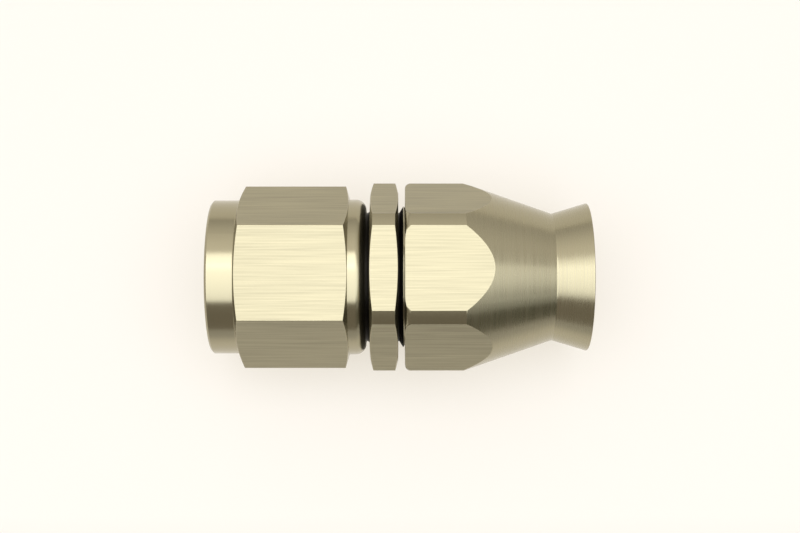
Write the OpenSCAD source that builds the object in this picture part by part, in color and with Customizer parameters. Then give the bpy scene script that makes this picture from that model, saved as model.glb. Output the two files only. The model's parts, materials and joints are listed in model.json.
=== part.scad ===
// Straight swivel hose end for braided PTFE hose, half-inch size.
// Five pieces on one axis: a swivel nut held by a snap ring on a nipple, and an olive and a socket that
// grip the hose on the nipple's tail. Each piece is drawn standing up, its axis on Z and its mouth down,
// with Z counted from the nut's mouth. lay_down() then lays it on the table, its axis along X.

/* [Swivel nut] */
// Width across the flats of the nut's hex
nut_af = 22.225; // [22:0.025:24]
// Length of the nut
nut_l = 21.55; // [20:0.05:26]
// Diameter of the round collar at the mouth
collar_d = 21.55; // [20.6:0.05:21.8]
// Length of the collar
collar_l = 3.95; // [2:0.05:6]
// Diameter of the round shoulder behind the hex
shoulder_d = 21.8; // [20.8:0.05:21.9]
// Length of the shoulder, its rolled edge included
shoulder_l = 2.37; // [1.8:0.01:4]
// Radius of the rolled edge at the back of the nut
rolled_edge_r = 1.5; // [0.4:0.05:1.6]
// Edge break on the collar's front corner
collar_break = 0.3; // [0.1:0.05:0.6]
// How far the nut is turned against the nipple's hex, in degrees
nut_turn = 3; // [0:0.5:30]

/* [Swivel thread] */
// Major diameter of the thread in the nut
swivel_major_d = 19.05; // [18.6:0.05:19.2]
// Bore of the thread in the nut, over its crests
swivel_minor_d = 17.5; // [17.3:0.05:17.7]
// Depth from the mouth to the last full thread
swivel_thread_l = 9.6; // [7:0.1:10.4]
// Length of the run-out groove behind the thread
run_out_l = 2.6; // [1.5:0.1:3]

/* [Nipple] */
// Depth from the nut's mouth to the nipple's nose
nose_depth = 10.9; // [10.6:0.1:12]
// Diameter of the nose
nose_d = 16.6; // [15.8:0.1:17]
// Length of the nose
nose_l = 2.3; // [1.8:0.1:3]
// Width of the nose's flat rim round the seat
nose_rim = 0.6; // [0.4:0.05:1]
// Angle of the seat to the axis, in degrees
seat_angle = 37; // [35:1:45]
// Diameter of the flow passage
passage_d = 8.4; // [7:0.1:8.8]
// Diameter of the boss that the nut turns on
boss_d = 18.05; // [17.8:0.05:18.4]
// Gap between the nut and the middle hex
swivel_gap = 0.6; // [0.3:0.05:1.5]
// Radius of the fillet between the boss and the middle hex
boss_fillet = 0.55; // [0.2:0.05:0.6]

/* [Wrench hexes] */
// Width across the flats of the middle hex and of the socket
body_af = 23.8125; // [23.5:0.0125:25]
// Diameter of the bar that both hexes are milled on
bar_d = 26.43; // [26.2:0.01:27]
// Thickness of the middle hex
middle_hex_l = 3.88; // [3:0.02:8]
// Angle of the turned chamfers to a hex's end face, in degrees
chamfer_angle = 16; // [10:1:30]
// How much the flat circle on a hex's end face is smaller than the hex is across its flats
face_inset = 0.22; // [0.1:0.02:0.6]

/* [Socket thread] */
// Diameter of the thread on the nipple's shank
shank_d = 19.84; // [19.4:0.02:20.2]
// Diameter of the relief groove between the middle hex and the thread
relief_d = 18.05; // [17.4:0.05:18.3]
// Length of the relief groove
relief_l = 0.15; // [0.1:0.05:0.8]
// Length of the chamfer that leads from the relief groove up to the full thread
thread_lead = 0.54; // [0.3:0.02:1]
// Length of the shank, its relief groove included
shank_l = 9; // [8:0.1:9.2]
// Gap between the middle hex and the socket
socket_gap = 0.95; // [0.3:0.01:1.5]

/* [Hose] */
// Outer diameter of the hose
hose_od = 13.2; // [12.8:0.1:13.6]
// Outer diameter of the hose's liner, inside its braid
liner_od = 12; // [11.6:0.1:12.4]
// Inner diameter of the hose
hose_id = 10.3; // [10.2:0.05:10.8]

/* [Socket] */
// Length of the socket
socket_l = 25.52; // [24.6:0.02:30]
// Length of the socket's full bar diameter, from its front face
grip_l = 8.19; // [6:0.01:10]
// Distance from the socket's front face to its neck
neck_at = 20.57; // [19.6:0.01:21.6]
// Outer diameter of the neck
neck_d = 17.82; // [17:0.02:19]
// Outer diameter of the bell mouth
bell_d = 20.8; // [20.2:0.02:24]
// Inner diameter of the bell mouth
bell_mouth_d = 18.4; // [16:0.1:18.8]
// Length of the flare inside the bell mouth
flare_l = 4.5; // [3:0.1:5]
// Rounding of the bell's rim
bell_rim_r = 0.1; // [0.05:0.05:0.7]
// Rounding of the socket's front corner
front_corner_r = 0.75; // [0.2:0.05:1]
// Depth of the shoulder where the gripping taper starts
taper_at = 9.82; // [9.7:0.02:11]
// Length of the gripping taper
taper_l = 7.2; // [6:0.1:7.4]
// Angle of the gripping taper to the axis, in degrees
taper_angle = 12; // [11:0.5:14]

/* [Olive] */
// Largest diameter of the olive
olive_d = 16.4; // [16.2:0.05:16.5]
// Length of the round land between the olive's two tapers
olive_land_l = 0.6; // [0.2:0.1:0.8]
// Angle of the olive's front taper to the axis, in degrees
nose_taper_angle = 20; // [15:1:22]
// Length of the olive's front taper
nose_taper_l = 4.4; // [3:0.1:4.4]
// Length of the olive's gripping taper
grip_taper_l = 5.4; // [3:0.1:6]
// Thickness of the step that stops the hose's liner
liner_stop_l = 1.5; // [0.8:0.1:2]

/* [Snap ring] */
// Diameter of the spring wire
wire_d = 1.2; // [0.8:0.05:1.3]
// Distance from the nose to the middle of the ring
ring_at = 5.7; // [5.4:0.1:7]
// Opening in the ring, in degrees
ring_gap = 30; // [10:5:60]

/* [Clearances] */
// Radial clearance between the nut and the boss
swivel_fit = 0.08; // [0.02:0.01:0.1]
// Radial clearance between the shank's thread and the socket
thread_fit = 0.05; // [0.02:0.01:0.1]
// Clearance round the snap ring's wire
ring_fit = 0.06; // [0.04:0.01:0.1]
// Radial clearance between the olive and the gripping taper
olive_fit = 0.1; // [0.05:0.01:0.2]
// Radial clearance between the hose and its bore in the socket
hose_fit = 0.2; // [0.1:0.05:0.4]
// Radial clearance between the tail and the inside of the hose
tail_fit = 0.1; // [0.05:0.01:0.2]
// Radial clearance between the tail and the olive's step
stop_fit = 0.15; // [0.1:0.01:0.25]
// Axial room between the tail's end and the hose bore
tail_room = 0.5; // [0.2:0.1:1]

/* [Hidden] */
$fn = 96;

// How far a cut runs past the face that it opens
over = 1;
// Small edge break on corners, and how far a core runs into the hex that it carries
edge = 0.2;

// Radii
nut_face_r = nut_af / 2 - face_inset / 2;
body_face_r = body_af / 2 - face_inset / 2;
swivel_r = swivel_minor_d / 2;
clear_r = swivel_major_d / 2 + edge;
boss_r = boss_d / 2;
nose_r = nose_d / 2;
seat_r = nose_r - nose_rim;
passage_r = passage_d / 2;
nut_bore_r = boss_r + swivel_fit;
shank_r = shank_d / 2;
relief_r = relief_d / 2;
thread_depth = shank_r - relief_r;
socket_thread_r = shank_r + thread_fit;
bar_r = bar_d / 2;
neck_r = neck_d / 2;
hose_bore_r = hose_od / 2 + hose_fit;
tail_r = hose_id / 2 - tail_fit;
olive_r = olive_d / 2;
liner_r = liner_od / 2;
wire_r = wire_d / 2;
ring_r = boss_r + swivel_fit / 2;

// Places along the axis, from the nut's mouth
nut_hex_end = nut_l - shoulder_l;
boss_at = nose_depth + nose_l;
ring_z = nose_depth + ring_at;
seat_end = nose_depth + (seat_r - passage_r) / tan(seat_angle);
middle_at = nut_l + swivel_gap;
shank_at = middle_at + middle_hex_l;
shank_end = shank_at + shank_l;
socket_at = shank_at + socket_gap;
neck_z = socket_at + neck_at;
total_l = socket_at + socket_l;
flare_at = total_l - flare_l;
taper_z = socket_at + taper_at;
taper_end = taper_z + taper_l;
taper_r = hose_bore_r + taper_l * tan(taper_angle);
tail_end = taper_end - tail_room;

// The olive sits in the socket's taper, so its place follows from the two diameters
olive_grip_at = taper_end - (olive_r + olive_fit - hose_bore_r) / tan(taper_angle);
olive_land_at = olive_grip_at - olive_land_l;
olive_front = olive_land_at - nose_taper_l;
olive_front_r = olive_r - nose_taper_l * tan(nose_taper_angle);
olive_back = olive_grip_at + grip_taper_l;
olive_back_r = olive_r - grip_taper_l * tan(taper_angle);

// The recess clears the olive's front taper, also once the socket is screwed up to the middle hex
recess_room = socket_gap + edge;
recess_end = olive_front - recess_room;
recess_end_r = olive_front_r;
recess_r = recess_end_r + (shank_end - recess_end) * tan(nose_taper_angle);

// Height of the axis over the table, with a flat of the middle hex and of the socket down
rest_h = body_af / 2;

// Lays a piece that stands on the origin on the table, turned about its own axis
module lay_down(turn = 0)
    translate([-total_l / 2, 0, rest_h])
        rotate([turn, 0, 0])
            rotate([0, 90, 0])
                children();

// Solid of revolution from an outline with radius across and the place along the axis up
module turned()
    rotate_extrude()
        children();

// Hex bar between two places on the axis, with a flat down once the piece is laid on the table
module hex_bar(af, from, to)
    translate([0, 0, from])
        rotate([0, 0, 30])
            cylinder(h = to - from, r = af / sqrt(3), $fn = 6);

// Outline of a bar whose two ends are chamfered from the circle face_r on each end face
module chamfered_bar(face_r, r, from, to) {
    drop = (r - face_r) * tan(chamfer_angle);
    polygon([
        [0, from], [face_r, from], [r, from + drop],
        [r, to - drop], [face_r, to], [0, to]
    ]);
}

// Cuts a true arc of radius r on an outline's outer corner; up is 1 for a top corner, -1 for a bottom one
module outer_round(corner_r, corner_z, r, up)
    translate([corner_r - r, corner_z - up * r])
        mirror([0, up < 0 ? 1 : 0])
            difference() {
                square(r + over);
                circle(r);
            }

// Fills an outline's inner corner, between a round surface and the face above it, with an arc of radius r
module inner_round(corner_r, corner_z, r)
    difference() {
        translate([corner_r - edge, corner_z - r])
            square(r + edge);
        translate([corner_r + r, corner_z - r])
            circle(r);
    }

module swivel_nut()
    color([0.86, 0.82, 0.68])
        lay_down(nut_turn)
            difference() {
                nut_body();
                turned() nut_bore();
            }

// Outside of the nut: collar, hex with turned chamfers, and shoulder with a rolled edge. The collar and
// the shoulder are joined by a core through the hex.
module nut_body() {
    corner_r = nut_af / sqrt(3);
    collar_r = collar_d / 2;
    shoulder_r = shoulder_d / 2;
    core_r = nut_bore_r + wire_d;
    intersection() {
        hex_bar(nut_af, collar_l, nut_hex_end);
        turned() chamfered_bar(nut_face_r, corner_r + edge, collar_l, nut_hex_end);
    }
    turned() difference() {
        polygon([
            [0, 0], [collar_r - collar_break, 0], [collar_r, collar_break],
            [collar_r, collar_l + edge], [core_r, collar_l + edge],
            [core_r, nut_hex_end - edge], [shoulder_r, nut_hex_end - edge],
            [shoulder_r, nut_l], [0, nut_l]
        ]);
        outer_round(shoulder_r, nut_l, rolled_edge_r, 1);
    }
}

// Inside of the nut: countersink, thread, run-out groove, running bore and groove for the snap ring
module nut_bore() {
    run_out_end = swivel_thread_l + run_out_l;
    run_out_step = (clear_r - swivel_r) / 2;
    polygon([
        [0, -over], [clear_r + over, -over], [swivel_r, clear_r - swivel_r],
        [swivel_r, swivel_thread_l], [clear_r, swivel_thread_l + run_out_step],
        [clear_r, run_out_end - edge],
        [nut_bore_r, run_out_end], [nut_bore_r, nut_l - edge], [nut_bore_r + edge + over, nut_l + over],
        [0, nut_l + over]
    ]);
    groove_half = wire_r + ring_fit;
    translate([0, ring_z - groove_half])
        square([ring_r + wire_r + ring_fit, 2 * groove_half]);
}

module nipple()
    color([0.84, 0.80, 0.66])
        lay_down()
            difference() {
                nipple_body();
                turned() nipple_cuts();
            }

// Outside of the nipple: nose, boss, middle hex, relief groove, threaded shank and hose tail
module nipple_body() {
    intersection() {
        hex_bar(body_af, middle_at, shank_at);
        turned() chamfered_bar(body_face_r, bar_r, middle_at, shank_at);
    }
    boss_step = boss_r - nose_r;
    relief_end = shank_at + relief_l;
    tail_lead = 4 * edge;
    turned() polygon([
        [0, nose_depth], [nose_r - edge, nose_depth], [nose_r, nose_depth + edge],
        [nose_r, boss_at], [boss_r, boss_at + boss_step], [boss_r, middle_at + edge],
        [relief_r, middle_at + edge], [relief_r, relief_end], [shank_r, relief_end + thread_lead],
        [shank_r, shank_end - thread_depth], [relief_r, shank_end], [recess_r, shank_end],
        [recess_end_r, recess_end], [tail_r, recess_end], [tail_r, tail_end - tail_lead],
        [tail_r - edge, tail_end], [0, tail_end]
    ]);
    turned() inner_round(boss_r, middle_at, boss_fillet);
}

// Inside of the nipple, with the groove for the snap ring: seat, passage and ring groove
module nipple_cuts() {
    polygon([
        [0, nose_depth - over], [seat_r + over * tan(seat_angle), nose_depth - over],
        [passage_r, seat_end], [passage_r, tail_end - edge], [passage_r + edge + over, tail_end + over],
        [0, tail_end + over]
    ]);
    groove_half = wire_r + ring_fit;
    groove_bottom = boss_r - wire_d - ring_fit;
    translate([groove_bottom, ring_z - groove_half])
        square([boss_r - groove_bottom + over, 2 * groove_half]);
}

// Open ring of round spring wire, half in the boss and half in the nut
module snap_ring()
    color([0.62, 0.63, 0.65])
        lay_down()
            translate([0, 0, ring_z])
                rotate([0, 0, ring_gap / 2])
                    rotate_extrude(angle = 360 - ring_gap)
                        translate([ring_r, 0])
                            circle(wire_r);

// Brass ring with a front taper, a land and a gripping taper with a thin end that slides under the braid
module olive()
    color([0.80, 0.62, 0.30])
        lay_down()
            turned() polygon([
                [tail_r + stop_fit, olive_front], [olive_front_r, olive_front],
                [olive_r, olive_land_at], [olive_r, olive_grip_at],
                [olive_back_r, olive_back], [liner_r + edge, olive_back + 2 * edge],
                [liner_r, olive_back + 2 * edge], [liner_r, olive_front + liner_stop_l],
                [tail_r + stop_fit, olive_front + liner_stop_l]
            ]);

module socket()
    color([0.85, 0.81, 0.67])
        lay_down()
            difference() {
                socket_body();
                turned() socket_bore();
            }

// Outside of the socket: turned bar, cone, neck and bell, with six flats milled into it
module socket_body()
    intersection() {
        turned() difference() {
            polygon([
                [0, socket_at], [bar_r, socket_at], [bar_r, socket_at + grip_l],
                [neck_r, neck_z], [bell_d / 2, total_l], [0, total_l]
            ]);
            outer_round(bar_r, socket_at, front_corner_r, -1);
            outer_round(bell_d / 2, total_l, bell_rim_r, 1);
        }
        hex_bar(body_af, socket_at - over, total_l + over);
    }

// Inside of the socket: countersink, thread, run-out, gripping taper, hose bore and flared mouth
module socket_bore() {
    groove_r = socket_thread_r + edge;
    groove_l = 6 * edge;
    polygon([
        [0, socket_at - over], [socket_thread_r + thread_depth + over, socket_at - over],
        [socket_thread_r, socket_at + thread_depth], [socket_thread_r, taper_z - groove_l],
        [groove_r, taper_z - groove_l + edge], [groove_r, taper_z],
        [taper_r, taper_z], [hose_bore_r, taper_end], [hose_bore_r, total_l + over], [0, total_l + over]
    ]);
    flare_w = bell_mouth_d / 2 - hose_bore_r;
    flare_r = (flare_l * flare_l + flare_w * flare_w) / (2 * flare_w);
    translate([0, flare_at])
        difference() {
            square([hose_bore_r + flare_r, flare_l + edge]);
            translate([hose_bore_r + flare_r, 0])
                circle(flare_r);
        }
}

swivel_nut();
nipple();
snap_ring();
olive();
socket();
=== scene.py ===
import json
import math

import bmesh
import bpy
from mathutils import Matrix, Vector


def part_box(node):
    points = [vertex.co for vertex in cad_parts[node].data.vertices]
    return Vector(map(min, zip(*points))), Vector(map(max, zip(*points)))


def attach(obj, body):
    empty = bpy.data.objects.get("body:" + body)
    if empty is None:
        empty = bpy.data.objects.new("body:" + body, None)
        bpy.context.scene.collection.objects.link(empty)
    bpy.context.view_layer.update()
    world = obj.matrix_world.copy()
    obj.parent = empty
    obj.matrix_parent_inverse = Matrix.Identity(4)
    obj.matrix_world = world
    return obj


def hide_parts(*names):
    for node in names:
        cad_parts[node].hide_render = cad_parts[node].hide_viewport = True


# Looks of a straight swivel hose end in champagne anodised aluminium. Nut, nipple and socket are drawn as
# columns of points round the fitting's axis, so that their edges are softly broken and their threads
# are true helices. Stations are counted along the axis from the nut's mouth. Lengths on the fitting are
# in millimetres, and put_in_frame() turns them into the frame's metres.

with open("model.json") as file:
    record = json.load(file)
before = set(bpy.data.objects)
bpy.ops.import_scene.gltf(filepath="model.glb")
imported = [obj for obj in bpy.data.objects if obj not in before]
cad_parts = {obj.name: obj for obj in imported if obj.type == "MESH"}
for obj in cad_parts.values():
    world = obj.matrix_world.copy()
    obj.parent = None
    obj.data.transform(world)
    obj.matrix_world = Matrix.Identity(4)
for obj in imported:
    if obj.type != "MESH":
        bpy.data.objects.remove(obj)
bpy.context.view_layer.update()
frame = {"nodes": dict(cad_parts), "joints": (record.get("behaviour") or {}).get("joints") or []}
nodes = frame["nodes"]
MM = 0.001

# Places that the frame gives
joints = {joint["name"]: joint for joint in frame["joints"]}
AXIS_Z = joints["nut_swivel"]["pos_m"][2]
MOUTH_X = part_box("swivel_nut")[0].x


def station(x):
    """Distance of a place in the frame from the nut's mouth, in millimetres."""
    return (x - MOUTH_X) / MM


NUT_END = station(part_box("swivel_nut")[1].x)
NOSE_AT = station(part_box("nipple")[0].x)
TAIL_END = station(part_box("nipple")[1].x)
SOCKET_AT = station(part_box("socket")[0].x)
BELL_END = station(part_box("socket")[1].x)
OLIVE_FRONT = station(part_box("olive")[0].x)

# Swivel nut. The flats of a thread, and its depth where one is named, are shares of its pitch.
NUT_AF = 22.225
NUT_TURN = 3
COLLAR_D = 21.55
COLLAR_L = 3.95
COLLAR_BREAK = 0.3
SHOULDER_D = 21.8
SHOULDER_L = 2.37
ROLLED_EDGE = 1.5
SWIVEL_MAJOR_D = 19.05
SWIVEL_MINOR_D = 17.5
SWIVEL_PITCH = 25.4 / 16
SWIVEL_THREAD_END = 9.6
RUN_OUT_L = 2.6
RUNNING_BORE_D = 18.21
NUT_THREAD_FLATS = (1 / 4, 1 / 8)

# Nipple
NOSE_D = 16.6
NOSE_L = 2.3
SEAT_D = 15.4
SEAT_ANGLE = 37
PASSAGE_D = 8.4
BOSS_D = 18.05
BOSS_FILLET = 0.55
MIDDLE_AT = 22.15
MIDDLE_L = 3.88
SHANK_AT = MIDDLE_AT + MIDDLE_L
SHANK_D = 19.84
SHANK_L = 9
SHANK_CHAMFER = SHANK_D / 2 - BOSS_D / 2
SHANK_THREAD_DEPTH = 0.54
SHANK_THREAD_FLATS = (1 / 8, 1 / 4)
RELIEF_L = 0.15
THREAD_LEAD = 0.54
TAIL_D = 10.1
TAIL_LEAD = 0.8
RECESS_ROOM = 1.15
RECESS_ANGLE = 20
OLIVE_NOSE_D = 13.197

# Hexes of nipple and socket
BODY_AF = 23.8125
BAR_D = 26.43
CHAMFER_ANGLE = 16
FACE_INSET = 0.22

# Snap ring groove
RING_AT = 16.6
RING_GROOVE_L = 1.32
NUT_GROOVE_D = 19.45
BOSS_GROOVE_D = 15.53

# Socket
SOCKET_PITCH = 25.4 / 18
SOCKET_THREAD_D = 19.94
SOCKET_THREAD_DEPTH = 0.51
SOCKET_THREAD_FLATS = (0.22, 0.18)
THREAD_RELIEF_L = 1.2
GRIP_L = 8.19
NECK_AT = 20.57
NECK_D = 17.82
BELL_D = 20.8
BELL_MOUTH_D = 18.4
BELL_RIM = 0.1
FLARE_L = 4.5
FRONT_CORNER = 0.75
TAPER_AT = 9.82
TAPER_L = 7.2
TAPER_ANGLE = 12
HOSE_BORE_D = 13.6

# Edges, and the radii that the turning tool's nose leaves in inner corners
EDGE = 0.2
FINE_EDGE = 0.08
HEX_EDGE = 0.12
RUN_OUT_EDGE = 0.32
TOOL_NOSE = 0.2
NECK_NOSE = 0.4

# Resolution. The arc at a corner takes at most the first share of the shorter side there, or the wide one
# where the arcs beside it are much smaller.
ARC_STEPS = 5
FLAT_STEPS = 20
CORNER_STEPS = 4
ARC_SHARE = 0.45
WIDE_ARC_SHARE = 0.9
LEAST_HALF_ANGLE = 0.01
SHARP_ANGLE = math.radians(23)
SAME_POINT = 0.0005
NO_LENGTH = 0.0002

# How far the faces of a milled flat may be out of its plane: turned, in degrees, leaning along the axis,
# and off it, in millimetres
FLAT_TURN = 0.5
FLAT_LEAN = 0.02
FLAT_OFF = 0.02

# The nipple's faces in the two gaps carry painted shade up to this radius
PAINTED_SHADE_R = 11.5


def tan_deg(angle):
    """Tangent of an angle in degrees."""
    return math.tan(math.radians(angle))


def put_in_frame(x, r, theta):
    """Point of the frame at a station x, a radius r and an angle theta from +Y towards +Z."""
    return Vector((MOUTH_X + x * MM, r * MM * math.cos(theta), AXIS_Z + r * MM * math.sin(theta)))


def rounded(corners):
    """Points along a line of corners (x, r, radius) or (x, r, radius, steps), each rounded by an arc."""
    points = []
    last = len(corners) - 1
    for i, (x, r, radius, *rest) in enumerate(corners):
        if radius == 0 or i in (0, last):
            points.append((x, r))
            continue
        steps = rest[0] if rest else ARC_STEPS
        here = Vector((x, r))
        back = Vector(corners[i - 1][:2]) - here
        on = Vector(corners[i + 1][:2]) - here
        half = max(back.angle(on) / 2, LEAST_HALF_ANGLE)
        wide = radius > 2 * max(corners[i - 1][2], corners[i + 1][2])
        share = WIDE_ARC_SHARE if wide else ARC_SHARE
        reach = min(radius / math.tan(half), share * back.length, share * on.length)
        centre = here + (back.normalized() + on.normalized()).normalized() * (reach / math.cos(half))
        start = here + back.normalized() * reach - centre
        end = here + on.normalized() * reach - centre
        turn = math.pi - 2 * half
        for step in range(steps + 1):
            t = step / steps
            side = start * math.sin((1 - t) * turn) + end * math.sin(t * turn)
            point = centre + side / math.sin(turn)
            points.append((point.x, point.y))
    return points


def hex_columns(across_flats, turn, bar_d=None):
    """Angles round the axis with the hex's radius there. Without a bar the corners are softly rounded.
    With one they are left round, as the bar was."""
    flat_r = across_flats / 2
    if bar_d:
        half_flat = math.acos(across_flats / bar_d)
        strip = math.radians(60) - 2 * half_flat
        corner = [(half_flat + strip * k / CORNER_STEPS, bar_d / 2) for k in range(1, CORNER_STEPS)]
    else:
        centre = (flat_r - HEX_EDGE) / math.cos(math.radians(30))
        corner = []
        for k in range(CORNER_STEPS + 1):
            beta = math.radians(60 * k / CORNER_STEPS - 30)
            across = HEX_EDGE * math.sin(beta)
            out = centre + HEX_EDGE * math.cos(beta)
            corner.append((math.radians(30) + math.atan2(across, out), math.hypot(across, out)))
        half_flat = corner[0][0]
        corner = corner[1:-1]
    columns = []
    for side in range(6):
        middle = math.radians(90 + 60 * side + turn)
        for k in range(FLAT_STEPS + 1):
            phi = half_flat * (2 * k / FLAT_STEPS - 1)
            columns.append((middle + phi, flat_r / math.cos(phi)))
        columns += [(middle + phi, r) for phi, r in corner]
    return columns


def add_shell(bm, columns, outline):
    """Surface through the outline of every column, closed round the axis."""
    grid = []
    for theta, hex_r in columns:
        grid.append([bm.verts.new(put_in_frame(x, r, theta)) for x, r in outline(hex_r)])
    for c, column in enumerate(grid):
        following = grid[(c + 1) % len(grid)]
        for j in range(len(column) - 1):
            bm.faces.new((column[j], column[j + 1], following[j + 1], following[j]))


def thread_profile(pitch, flats, depth):
    """Points (x, share of the depth) over one pitch, from the middle of the flat at the wall."""
    wall_flat, far_flat = (pitch * share for share in flats)
    corners = [
        (-wall_flat / 2, 0, 0),
        (wall_flat / 2, 0, FINE_EDGE, 2),
        (pitch / 2 - far_flat / 2, depth, FINE_EDGE, 2),
        (pitch / 2 + far_flat / 2, depth, FINE_EDGE, 2),
        (pitch - wall_flat / 2, 0, FINE_EDGE, 2),
        (pitch + wall_flat / 2, 0, 0),
    ]
    return [(x, r / depth) for x, r in rounded(corners)[1:-1]]


def add_thread(bm, columns, start, end, wall_r, far_r, pitch, flats, phase=0):
    """Right-handed thread between two stations. Its rows follow the helix, and it fades in and out. It
    has a flat at the wall and one at the far radius."""
    profile = thread_profile(pitch, flats, abs(far_r - wall_r))
    turns = math.ceil((end - start) / pitch) + 2
    lead = pitch / 3
    grid = []
    for theta, _ in columns:
        shift = pitch * (theta / math.tau + phase)
        column = []
        for turn in range(-2, turns):
            for along, share in profile:
                x = start + pitch * turn + along + shift
                fade = max(0, min(1, (x - start) / lead, (end - x) / lead))
                r = wall_r + (far_r - wall_r) * share * fade
                column.append(bm.verts.new(put_in_frame(max(start, min(end, x)), r, theta)))
        grid.append(column)
    for c, column in enumerate(grid):
        seam = c == len(grid) - 1
        following = grid[0] if seam else grid[c + 1]
        skip = len(profile) if seam else 0
        for j in range(len(column) - 1 - skip):
            bm.faces.new((column[j], column[j + 1], following[j + 1 + skip], following[j + skip]))


def make_piece(name, node, columns, outline, thread, across_flats, turn, materials, bands=()):
    """Mesh of one turned and milled piece. Milled flats get the second material, and round faces in a
    band get the third. A band is a first and last station, and a least and greatest radius."""
    bm = bmesh.new()
    add_shell(bm, columns, outline)
    add_thread(bm, columns, **thread)
    bmesh.ops.remove_doubles(bm, verts=bm.verts, dist=SAME_POINT * MM)
    bmesh.ops.dissolve_degenerate(bm, edges=bm.edges, dist=NO_LENGTH * MM)
    bmesh.ops.recalc_face_normals(bm, faces=bm.faces)
    mesh = bpy.data.meshes.new(name)
    bm.to_mesh(mesh)
    bm.free()
    mesh.shade_smooth()
    mesh.set_sharp_from_angle(angle=SHARP_ANGLE)
    for material in materials:
        mesh.materials.append(material)
    flat_r = across_flats / 2 * MM
    for face in mesh.polygons:
        at = station(face.center.x)
        r = math.hypot(face.center.y, face.center.z - AXIS_Z) / MM
        if any(start < at < end and least < r < most for start, end, least, most in bands):
            face.material_index = 2
        side = math.degrees(math.atan2(face.normal.z, face.normal.y)) - turn - 90
        off = abs((side + 30) % 60 - 30)
        out = face.normal.y * face.center.y + face.normal.z * (face.center.z - AXIS_Z)
        flat = off < FLAT_TURN and abs(face.normal.x) < FLAT_LEAN
        if flat and abs(out - flat_r) < FLAT_OFF * MM:
            face.material_index = 1
    piece = bpy.data.objects.new(name, mesh)
    bpy.context.scene.collection.objects.link(piece)
    weighted = piece.modifiers.new("weighted_normals", "WEIGHTED_NORMAL")
    weighted.keep_sharp = True
    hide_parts(node)
    return piece


def nut_outline(hex_r):
    """Nut from the start of its thread round the outside to the end of its thread."""
    collar_r = COLLAR_D / 2
    shoulder_r = SHOULDER_D / 2
    face_r = NUT_AF / 2 - FACE_INSET / 2
    crest_r = SWIVEL_MINOR_D / 2
    clear_r = SWIVEL_MAJOR_D / 2 + EDGE
    bore_r = RUNNING_BORE_D / 2
    groove_r = NUT_GROOVE_D / 2
    hex_end = NUT_END - SHOULDER_L
    drop = (hex_r - face_r) * tan_deg(CHAMFER_ANGLE)
    run_out_end = SWIVEL_THREAD_END + RUN_OUT_L
    return rounded([
        (clear_r - crest_r, crest_r, 0),
        (0, clear_r, FINE_EDGE),
        (0, collar_r - COLLAR_BREAK, FINE_EDGE),
        (COLLAR_BREAK, collar_r, FINE_EDGE),
        (COLLAR_L, collar_r, TOOL_NOSE),
        (COLLAR_L, face_r, FINE_EDGE),
        (COLLAR_L + drop, hex_r, FINE_EDGE),
        (hex_end - drop, hex_r, FINE_EDGE),
        (hex_end, face_r, FINE_EDGE),
        (hex_end, shoulder_r, 0),
        (NUT_END, shoulder_r, ROLLED_EDGE, 3 * ARC_STEPS),
        (NUT_END, bore_r + EDGE, FINE_EDGE),
        (NUT_END - EDGE, bore_r, FINE_EDGE),
        (RING_AT + RING_GROOVE_L / 2, bore_r, 0),
        (RING_AT + RING_GROOVE_L / 2, groove_r, 0),
        (RING_AT - RING_GROOVE_L / 2, groove_r, 0),
        (RING_AT - RING_GROOVE_L / 2, bore_r, 0),
        (run_out_end, bore_r, 0),
        (run_out_end - EDGE, clear_r, 0),
        (SWIVEL_THREAD_END + (clear_r - crest_r) / 2, clear_r, 0),
        (SWIVEL_THREAD_END, crest_r, 0),
    ])


def swivel_nut(materials):
    """Swivel nut, turned a little against the rest."""
    crest_r = SWIVEL_MINOR_D / 2
    thread = {
        "start": SWIVEL_MAJOR_D / 2 + EDGE - crest_r,
        "end": SWIVEL_THREAD_END,
        "wall_r": crest_r,
        "far_r": SWIVEL_MAJOR_D / 2,
        "pitch": SWIVEL_PITCH,
        "flats": NUT_THREAD_FLATS,
    }
    columns = hex_columns(NUT_AF, NUT_TURN)
    piece = make_piece(
        "nut_body", "swivel_nut", columns, nut_outline, thread, NUT_AF, NUT_TURN, materials)
    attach(piece, "nut")


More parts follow.
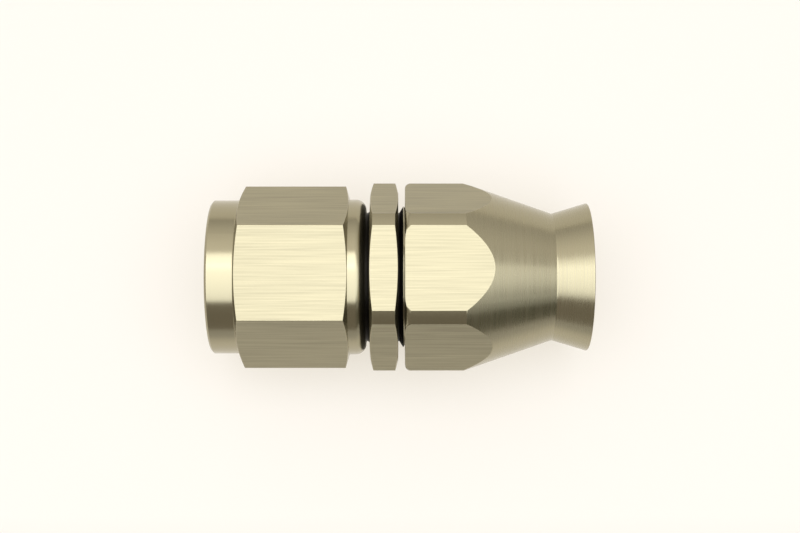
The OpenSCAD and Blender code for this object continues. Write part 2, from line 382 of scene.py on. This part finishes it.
def nipple_outline(hex_r):
    """Nipple from the end of its thread through the tail, passage, seat and boss to the thread's start."""
    shank_r = SHANK_D / 2
    boss_r = BOSS_D / 2
    shank_end = SHANK_AT + SHANK_L
    recess_end = OLIVE_FRONT - RECESS_ROOM
    recess_end_r = OLIVE_NOSE_D / 2
    recess_r = recess_end_r + (shank_end - recess_end) * tan_deg(RECESS_ANGLE)
    tail_r = TAIL_D / 2
    passage_r = PASSAGE_D / 2
    seat_r = SEAT_D / 2
    nose_r = NOSE_D / 2
    seat_end = NOSE_AT + (seat_r - passage_r) / tan_deg(SEAT_ANGLE)
    boss_at = NOSE_AT + NOSE_L
    groove_r = BOSS_GROOVE_D / 2
    face_r = BODY_AF / 2 - FACE_INSET / 2
    hex_drop = (hex_r - face_r) * tan_deg(CHAMFER_ANGLE)
    return rounded([
        (shank_end - SHANK_CHAMFER, shank_r, 0),
        (shank_end, boss_r, FINE_EDGE),
        (shank_end, recess_r, FINE_EDGE),
        (recess_end, recess_end_r, 0),
        (recess_end, tail_r, 0),
        (TAIL_END - TAIL_LEAD, tail_r, FINE_EDGE),
        (TAIL_END, tail_r - EDGE, FINE_EDGE),
        (TAIL_END, passage_r + EDGE, FINE_EDGE),
        (TAIL_END - EDGE, passage_r, FINE_EDGE),
        (seat_end, passage_r, EDGE),
        (NOSE_AT, seat_r, FINE_EDGE),
        (NOSE_AT, nose_r - EDGE, FINE_EDGE),
        (NOSE_AT + EDGE, nose_r, FINE_EDGE),
        (boss_at, nose_r, 0),
        (boss_at + boss_r - nose_r, boss_r, FINE_EDGE),
        (RING_AT - RING_GROOVE_L / 2, boss_r, 0),
        (RING_AT - RING_GROOVE_L / 2, groove_r, 0),
        (RING_AT + RING_GROOVE_L / 2, groove_r, 0),
        (RING_AT + RING_GROOVE_L / 2, boss_r, 0),
        (MIDDLE_AT, boss_r, BOSS_FILLET),
        (MIDDLE_AT, face_r, FINE_EDGE),
        (MIDDLE_AT + hex_drop, hex_r, FINE_EDGE),
        (SHANK_AT - hex_drop, hex_r, FINE_EDGE),
        (SHANK_AT, face_r, FINE_EDGE),
        (SHANK_AT, boss_r, 0),
        (SHANK_AT + RELIEF_L, boss_r, 0),
        (SHANK_AT + RELIEF_L + THREAD_LEAD, shank_r, 0),
    ])


def nipple(materials):
    """Nipple with its middle hex and threaded shank, with painted shade on its faces in the gaps on both
    sides of the hex. Gives its thread."""
    thread = {
        "start": SHANK_AT + RELIEF_L + THREAD_LEAD,
        "end": SHANK_AT + SHANK_L - SHANK_CHAMFER,
        "wall_r": SHANK_D / 2,
        "far_r": SHANK_D / 2 - SHANK_THREAD_DEPTH * SOCKET_PITCH,
        "pitch": SOCKET_PITCH,
        "flats": SHANK_THREAD_FLATS,
    }
    # Bands where the nipple's turned faces carry painted shade, in the gaps beside the middle hex
    painted_shade_bands = (
        (RING_AT + RING_GROOVE_L, MIDDLE_AT + FINE_EDGE / 4, 0, PAINTED_SHADE_R),
        (SHANK_AT - FINE_EDGE / 4, thread["start"], 0, PAINTED_SHADE_R),
    )
    columns = hex_columns(BODY_AF, 0, BAR_D)
    piece = make_piece(
        "nipple_body", "nipple", columns, nipple_outline, thread, BODY_AF, 0, materials, painted_shade_bands)
    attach(piece, "nipple")
    return thread


def socket_outline(hex_r):
    """Socket from the start of its thread round the outside and through the bore to the thread's end."""
    bar_r = BAR_D / 2
    thread_r = SOCKET_THREAD_D / 2
    neck_r = NECK_D / 2
    bore_r = HOSE_BORE_D / 2
    mouth_r = BELL_MOUTH_D / 2
    taper_start = SOCKET_AT + TAPER_AT
    taper_end = taper_start + TAPER_L
    taper_r = bore_r + TAPER_L * tan_deg(TAPER_ANGLE)
    thread_end = taper_start - THREAD_RELIEF_L
    points = rounded([
        (SOCKET_AT + SHANK_CHAMFER, thread_r, 0),
        (SOCKET_AT, thread_r + SHANK_CHAMFER, FINE_EDGE),
        (SOCKET_AT, min(hex_r, bar_r - FRONT_CORNER), 0),
    ])
    corner_r = bar_r - FRONT_CORNER
    reach = max(0, min(1, (hex_r - corner_r) / FRONT_CORNER))
    for step in range(1, 2 * ARC_STEPS + 1):
        beta = math.asin(reach) * step / (2 * ARC_STEPS)
        x = SOCKET_AT + FRONT_CORNER * (1 - math.cos(beta))
        points.append((x, min(hex_r, corner_r + FRONT_CORNER * math.sin(beta))))
    grip_end = SOCKET_AT + GRIP_L
    slope = (bar_r - neck_r) / (NECK_AT - GRIP_L)
    run_out = grip_end + (bar_r - hex_r) / slope
    points += rounded([
        points[-1] + (0,),
        (run_out, hex_r, RUN_OUT_EDGE),
        (SOCKET_AT + NECK_AT, neck_r, NECK_NOSE),
        (BELL_END, BELL_D / 2, BELL_RIM, 2 * ARC_STEPS),
        (BELL_END, mouth_r, 0),
    ])[1:]
    flare_w = mouth_r - bore_r
    flare_r = (FLARE_L ** 2 + flare_w ** 2) / (2 * flare_w)
    for step in range(2 * ARC_STEPS, -1, -1):
        gamma = math.asin(FLARE_L / flare_r) * step / (2 * ARC_STEPS)
        x = BELL_END - FLARE_L + flare_r * math.sin(gamma)
        points.append((x, bore_r + flare_r * (1 - math.cos(gamma))))
    return points + [
        (taper_end, bore_r),
        (taper_start, taper_r),
        (taper_start, thread_r + EDGE),
        (thread_end + EDGE, thread_r + EDGE),
        (thread_end, thread_r),
    ]


def socket(materials, shank_thread):
    """Socket with milled flats that run out on its cone. Its thread runs in the shank's grooves."""
    thread_r = SOCKET_THREAD_D / 2
    start = SOCKET_AT + SHANK_CHAMFER
    thread = {
        "start": start,
        "end": SOCKET_AT + TAPER_AT - THREAD_RELIEF_L,
        "wall_r": thread_r,
        "far_r": thread_r - SOCKET_THREAD_DEPTH * SOCKET_PITCH,
        "pitch": SOCKET_PITCH,
        "flats": SOCKET_THREAD_FLATS,
        "phase": (shank_thread["start"] - start) / SOCKET_PITCH,
    }
    grip = ((SOCKET_AT, SOCKET_AT + GRIP_L, BAR_D / 2 - FRONT_CORNER, BAR_D / 2),)
    columns = hex_columns(BODY_AF, 0, BAR_D)
    piece = make_piece(
        "socket_body", "socket", columns, socket_outline, thread, BODY_AF, 0, materials, grip)
    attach(piece, "socket")


# Tool lines: the noise's roughness and the values it mostly lies between, how broad and how strong the
# broader lines are, and how much of the radius is added to the station, so that end faces have lines too
NOISE_ROUGHNESS = 0.6
NOISE_RANGE = (0.3, 0.7)
BROAD_LINE = 4
BROAD_SHARE = 0.35
RADIUS_SHARE = 1.37

# Highlights: how far they stretch, and the turn that lays them round the axis or along it
ANISOTROPY = 0.7
ROUND_AXIS = 0
ALONG_AXIS = 0.25


def new_material(name):
    """Material with an empty Principled shader; gives the material, its nodes and links, and the shader."""
    material = bpy.data.materials.new(name)
    material.use_nodes = True
    tree = material.node_tree
    return material, tree.nodes, tree.links, tree.nodes["Principled BSDF"]


def math_node(tree_nodes, links, operation, a, b):
    """Math node of two inputs, each a socket or a number; gives its output."""
    node = tree_nodes.new("ShaderNodeMath")
    node.operation = operation
    for slot, value in zip(node.inputs, (a, b)):
        if isinstance(value, (int, float)):
            slot.default_value = value
        else:
            links.new(value, slot)
    return node.outputs[0]


def lathe_coordinates(tree_nodes, links, line, length):
    """Coordinates that change fast across the turned lines, which are circles round the axis."""
    source = tree_nodes.new("ShaderNodeTexCoord")
    split = tree_nodes.new("ShaderNodeSeparateXYZ")
    links.new(source.outputs["Object"], split.inputs[0])
    x, y, z = split.outputs
    up = math_node(tree_nodes, links, "SUBTRACT", z, AXIS_Z)
    square = math_node(tree_nodes, links, "ADD",
                       math_node(tree_nodes, links, "MULTIPLY", y, y),
                       math_node(tree_nodes, links, "MULTIPLY", up, up))
    radius = math_node(tree_nodes, links, "SQRT", square, 0)
    across = math_node(tree_nodes, links, "ADD", x,
                       math_node(tree_nodes, links, "MULTIPLY", radius, RADIUS_SHARE))
    join = tree_nodes.new("ShaderNodeCombineXYZ")
    links.new(math_node(tree_nodes, links, "MULTIPLY", across, 1 / line), join.inputs[0])
    links.new(math_node(tree_nodes, links, "MULTIPLY", y, 1 / length), join.inputs[1])
    links.new(math_node(tree_nodes, links, "MULTIPLY", up, 1 / length), join.inputs[2])
    return join.outputs[0]


def axial_coordinates(tree_nodes, links, line, length):
    """Coordinates that change fast across lines along the fitting's axis."""
    source = tree_nodes.new("ShaderNodeTexCoord")
    mapping = tree_nodes.new("ShaderNodeMapping")
    mapping.inputs["Scale"].default_value = (1 / length, 1 / line, 1 / line)
    links.new(source.outputs["Object"], mapping.inputs["Vector"])
    return mapping.outputs[0]


def noise_node(tree_nodes, links, vector, detail):
    """Noise over the coordinates; gives its output."""
    noise = tree_nodes.new("ShaderNodeTexNoise")
    noise.inputs["Scale"].default_value = 1
    noise.inputs["Detail"].default_value = detail
    noise.inputs["Roughness"].default_value = NOISE_ROUGHNESS
    links.new(vector, noise.inputs["Vector"])
    return noise.outputs["Fac"]


def ranged(tree_nodes, links, value, low, high):
    """A noise value spread over low to high."""
    node = tree_nodes.new("ShaderNodeMapRange")
    node.inputs["From Min"].default_value = NOISE_RANGE[0]
    node.inputs["From Max"].default_value = NOISE_RANGE[1]
    node.inputs["To Min"].default_value = low
    node.inputs["To Max"].default_value = high
    links.new(value, node.inputs["Value"])
    return node.outputs["Result"]


def metal(name, colour, coordinates, line, length, roughness, spread, tone, depth, stretch):
    """Metal with tool lines, fine ones and some broader and longer ones, seen in its tone, its roughness
    and its bump. Its highlights stretch round the axis or along it."""
    material, tree_nodes, links, shader = new_material(name)
    fine = noise_node(tree_nodes, links, coordinates(tree_nodes, links, line, length), 1)
    broad = noise_node(tree_nodes, links,
                       coordinates(tree_nodes, links, BROAD_LINE * line, BROAD_LINE * length), 2)
    lines = math_node(tree_nodes, links, "ADD",
                      math_node(tree_nodes, links, "MULTIPLY", fine, 1 - BROAD_SHARE),
                      math_node(tree_nodes, links, "MULTIPLY", broad, BROAD_SHARE))
    shader.inputs["Metallic"].default_value = 1
    shader.inputs["Anisotropic"].default_value = ANISOTROPY
    shader.inputs["Anisotropic Rotation"].default_value = stretch
    tangent = tree_nodes.new("ShaderNodeTangent")
    tangent.direction_type = "RADIAL"
    tangent.axis = "X"
    links.new(tangent.outputs[0], shader.inputs["Tangent"])
    links.new(ranged(tree_nodes, links, lines, roughness - spread, roughness + spread),
              shader.inputs["Roughness"])
    mix = tree_nodes.new("ShaderNodeMix")
    mix.data_type = "RGBA"
    mix.inputs["A"].default_value = [c * (1 - tone) for c in colour] + [1]
    mix.inputs["B"].default_value = [c * (1 + tone) for c in colour] + [1]
    links.new(ranged(tree_nodes, links, lines, 0, 1), mix.inputs["Factor"])
    links.new(mix.outputs["Result"], shader.inputs["Base Color"])
    bump = tree_nodes.new("ShaderNodeBump")
    bump.inputs["Strength"].default_value = 1
    bump.inputs["Distance"].default_value = depth
    links.new(lines, bump.inputs["Height"])
    links.new(bump.outputs["Normal"], shader.inputs["Normal"])
    return material


# Anodised aluminium as it is under white light, a little duller where it is milled, painted shade on its
# turned faces in the two narrow gaps, and the metals of the hidden pieces
ANODISED = (0.37, 0.337, 0.228)
MILLED = (0.353, 0.321, 0.217)
PAINTED_SHADE = (0.035, 0.032, 0.026)
BRASS = (0.72, 0.52, 0.22)
STEEL = (0.5, 0.5, 0.51)

turned = metal("turned_anodised", ANODISED, lathe_coordinates, line=0.22 * MM, length=30 * MM,
               roughness=0.27, spread=0.035, tone=0.01, depth=0.0015 * MM, stretch=ALONG_AXIS)
smooth = metal("smooth_anodised", ANODISED, lathe_coordinates, line=0.2 * MM, length=30 * MM,
               roughness=0.24, spread=0.015, tone=0.01, depth=0.0006 * MM, stretch=ALONG_AXIS)
milled = metal("milled_anodised", MILLED, axial_coordinates, line=0.2 * MM, length=9 * MM,
               roughness=0.35, spread=0.06, tone=0.2, depth=0.002 * MM, stretch=ROUND_AXIS)
# Painted shade: a near-black turned metal for the nipple's faces in the two narrow gaps
painted_shade = metal("turned_painted_shade", PAINTED_SHADE, lathe_coordinates, line=0.3 * MM, length=14 * MM,
             roughness=0.5, spread=0.03, tone=0.03, depth=0.002 * MM, stretch=ALONG_AXIS)
brass = metal("turned_brass", BRASS, lathe_coordinates, line=0.25 * MM, length=14 * MM,
              roughness=0.28, spread=0.05, tone=0.05, depth=0.003 * MM, stretch=ALONG_AXIS)
steel = metal("drawn_steel", STEEL, lathe_coordinates, line=0.4 * MM, length=4 * MM,
              roughness=0.35, spread=0.05, tone=0.05, depth=0.001 * MM, stretch=ALONG_AXIS)


def dress_node(node, material):
    """A CAD node that keeps its own mesh gets its material in every slot."""
    node.data.materials.clear()
    node.data.materials.append(material)


swivel_nut([smooth, milled])
shank_thread = nipple([smooth, milled, painted_shade])
socket([turned, milled, smooth], shank_thread)
dress_node(nodes["olive"], brass)
dress_node(nodes["snap_ring"], steel)

# Photograph: the camera looks down on the fitting, a little from the front. Its lens is given in pixels
# of the image, and where its view starts in metres.
IMAGE_W = 800
SENSOR_W = 36
FOCAL_PX = 1430
CLIP_START = 0.005
CAMERA_DISTANCE = 201.8
CAMERA_ELEVATION = 83.75
CENTRE_STATION = 26.28
AXIS_BELOW_CENTRE = 1.47


def add_camera():
    """Camera at the photograph's place, with its lens."""
    elevation = math.radians(CAMERA_ELEVATION)
    towards = Vector((0, -math.cos(elevation), math.sin(elevation)))
    image_up = Vector((0, math.sin(elevation), math.cos(elevation)))
    data = bpy.data.cameras.new("camera")
    data.sensor_width = SENSOR_W
    data.lens = FOCAL_PX * SENSOR_W / IMAGE_W
    data.clip_start = CLIP_START
    camera = bpy.data.objects.new("camera", data)
    target = put_in_frame(CENTRE_STATION, 0, 0) + image_up * AXIS_BELOW_CENTRE * MM
    camera.location = target + towards * CAMERA_DISTANCE * MM
    camera.rotation_euler = towards.to_track_quat("Z", "Y").to_euler()
    bpy.context.scene.collection.objects.link(camera)
    bpy.context.scene.camera = camera


# Studio: a round soft box overhead, dimmer square ones at its front and to the right, and a small round
# one at its back, in a dim room over a pale table. Each lamp has a place, a size along X and Y, both in
# metres, a shape and a radiance.
LAMP_COLOUR = (0.93, 0.96, 1)
LAMPS = {
    "soft_box": ((0, -0.107, 0.6), (0.93, 0.906), "ELLIPSE", 1.6),
    "front_box": ((0, -0.205, 0.61), (1.5, 0.71), "RECTANGLE", 0.6),
    "back_box": ((0, 0.197, 0.59), (0.32, 0.3), "ELLIPSE", 0.9),
    "side_box": ((0.7, -0.7, 0.6), (0.45, 0.4), "RECTANGLE", 0.6),
}
ROOM_FRONT = (0.33, 0.296, 0.254)
ROOM_CORNER = (0.15, 0.15, 0.12)
ROOM_BACK_LOW = (0.6, 0.57, 0.53)
ROOM_BACK_HIGH = (1.3, 1.245, 1.165)
ROOM_BACK_CORNER = (1, 0.957, 0.896)

# The room's colours blend over these ranges of the direction's X, Y and Z
ROOM_ASIDE = (0, 0.6)
ROOM_AWAY = (-0.6, 0.6)
ROOM_UP = (0, 0.7)

# Table, in metres. Its glow blends from a painted shade at the front to its other colour over these places
# along Y.
FLOOR_COLOUR = (0.76, 0.77, 0.81)
FLOOR_ROUGHNESS = 0.9
FLOOR_SPECULAR = 0.1
FLOOR_SIZE = 6
FLOOR_LEVEL = -0.00001
FLOOR_GLOW = 0.65
FLOOR_GLOW_COLOUR = (1, 0.92, 0.78)
FLOOR_FRONT_SHADE_COLOUR = (0.4, 0.365, 0.31)
FLOOR_FRONT = (-0.075, -0.034)


def add_lamp(name, place, size, shape, radiance):
    """Soft lamp that shines straight down."""
    data = bpy.data.lights.new(name, "AREA")
    data.color = LAMP_COLOUR
    data.shape = shape
    data.size, data.size_y = size
    area = size[0] * size[1] * (math.pi / 4 if shape == "ELLIPSE" else 1)
    data.energy = radiance * math.pi * area
    lamp = bpy.data.objects.new(name, data)
    lamp.location = place
    bpy.context.scene.collection.objects.link(lamp)


def graded(tree_nodes, links, value, start, end, first, last):
    """Colour, or the output of another colour node, graded from first to last as the value rises."""
    grade = tree_nodes.new("ShaderNodeMapRange")
    grade.inputs["From Min"].default_value = start
    grade.inputs["From Max"].default_value = end
    links.new(value, grade.inputs["Value"])
    mix = tree_nodes.new("ShaderNodeMix")
    mix.data_type = "RGBA"
    links.new(grade.outputs["Result"], mix.inputs["Factor"])
    for name, colour in (("A", first), ("B", last)):
        if isinstance(colour, tuple):
            mix.inputs[name].default_value = (*colour, 1)
        else:
            links.new(colour, mix.inputs[name])
    return mix.outputs["Result"]


def add_room():
    """Dim room round the table, darker at the front and at the right, lighter high at the back."""
    world = bpy.data.worlds.new("room")
    bpy.context.scene.world = world
    world.use_nodes = True
    tree_nodes, links = world.node_tree.nodes, world.node_tree.links
    source = tree_nodes.new("ShaderNodeTexCoord")
    split = tree_nodes.new("ShaderNodeSeparateXYZ")
    links.new(source.outputs["Generated"], split.inputs[0])
    x, y, z = split.outputs
    front = graded(tree_nodes, links, x, *ROOM_ASIDE, ROOM_FRONT, ROOM_CORNER)
    high = graded(tree_nodes, links, x, *ROOM_ASIDE, ROOM_BACK_HIGH, ROOM_BACK_CORNER)
    back = graded(tree_nodes, links, z, *ROOM_UP, ROOM_BACK_LOW, high)
    room = graded(tree_nodes, links, y, *ROOM_AWAY, front, back)
    links.new(room, tree_nodes["Background"].inputs["Color"])


def add_floor():
    """Pale table top, with painted shade in front. Seen and mirrored, it is part glow, so that the soft
    shadow on it stays light."""
    material, tree_nodes, links, shader = new_material("table")
    shader.inputs["Base Color"].default_value = (*FLOOR_COLOUR, 1)
    shader.inputs["Roughness"].default_value = FLOOR_ROUGHNESS
    shader.inputs["Specular IOR Level"].default_value = FLOOR_SPECULAR
    source = tree_nodes.new("ShaderNodeTexCoord")
    split = tree_nodes.new("ShaderNodeSeparateXYZ")
    links.new(source.outputs["Object"], split.inputs[0])
    glow = tree_nodes.new("ShaderNodeEmission")
    # Painted shade: the glow darkens towards the table's front
    glow_colour = graded(tree_nodes, links, split.outputs["Y"], *FLOOR_FRONT,
                         FLOOR_FRONT_SHADE_COLOUR, FLOOR_GLOW_COLOUR)
    links.new(glow_colour, glow.inputs["Color"])
    glow.inputs["Strength"].default_value = 1
    path = tree_nodes.new("ShaderNodeLightPath")
    seen = math_node(tree_nodes, links, "MAXIMUM", path.outputs["Is Camera Ray"],
                     math_node(tree_nodes, links, "MAXIMUM", path.outputs["Is Glossy Ray"],
                               path.outputs["Is Transmission Ray"]))
    mix = tree_nodes.new("ShaderNodeMixShader")
    links.new(math_node(tree_nodes, links, "MULTIPLY", seen, FLOOR_GLOW), mix.inputs[0])
    links.new(shader.outputs[0], mix.inputs[1])
    links.new(glow.outputs[0], mix.inputs[2])
    links.new(mix.outputs[0], tree_nodes["Material Output"].inputs["Surface"])
    mesh = bpy.data.meshes.new("table")
    half = FLOOR_SIZE / 2
    corners = [(-half, -half), (half, -half), (half, half), (-half, half)]
    mesh.from_pydata([(x, y, FLOOR_LEVEL) for x, y in corners], [], [(0, 1, 2, 3)])
    mesh.materials.append(material)
    floor = bpy.data.objects.new("table", mesh)
    bpy.context.scene.collection.objects.link(floor)


add_camera()
for name, values in LAMPS.items():
    add_lamp(name, *values)
add_room()
add_floor()
bpy.context.scene.view_settings.view_transform = "Standard"
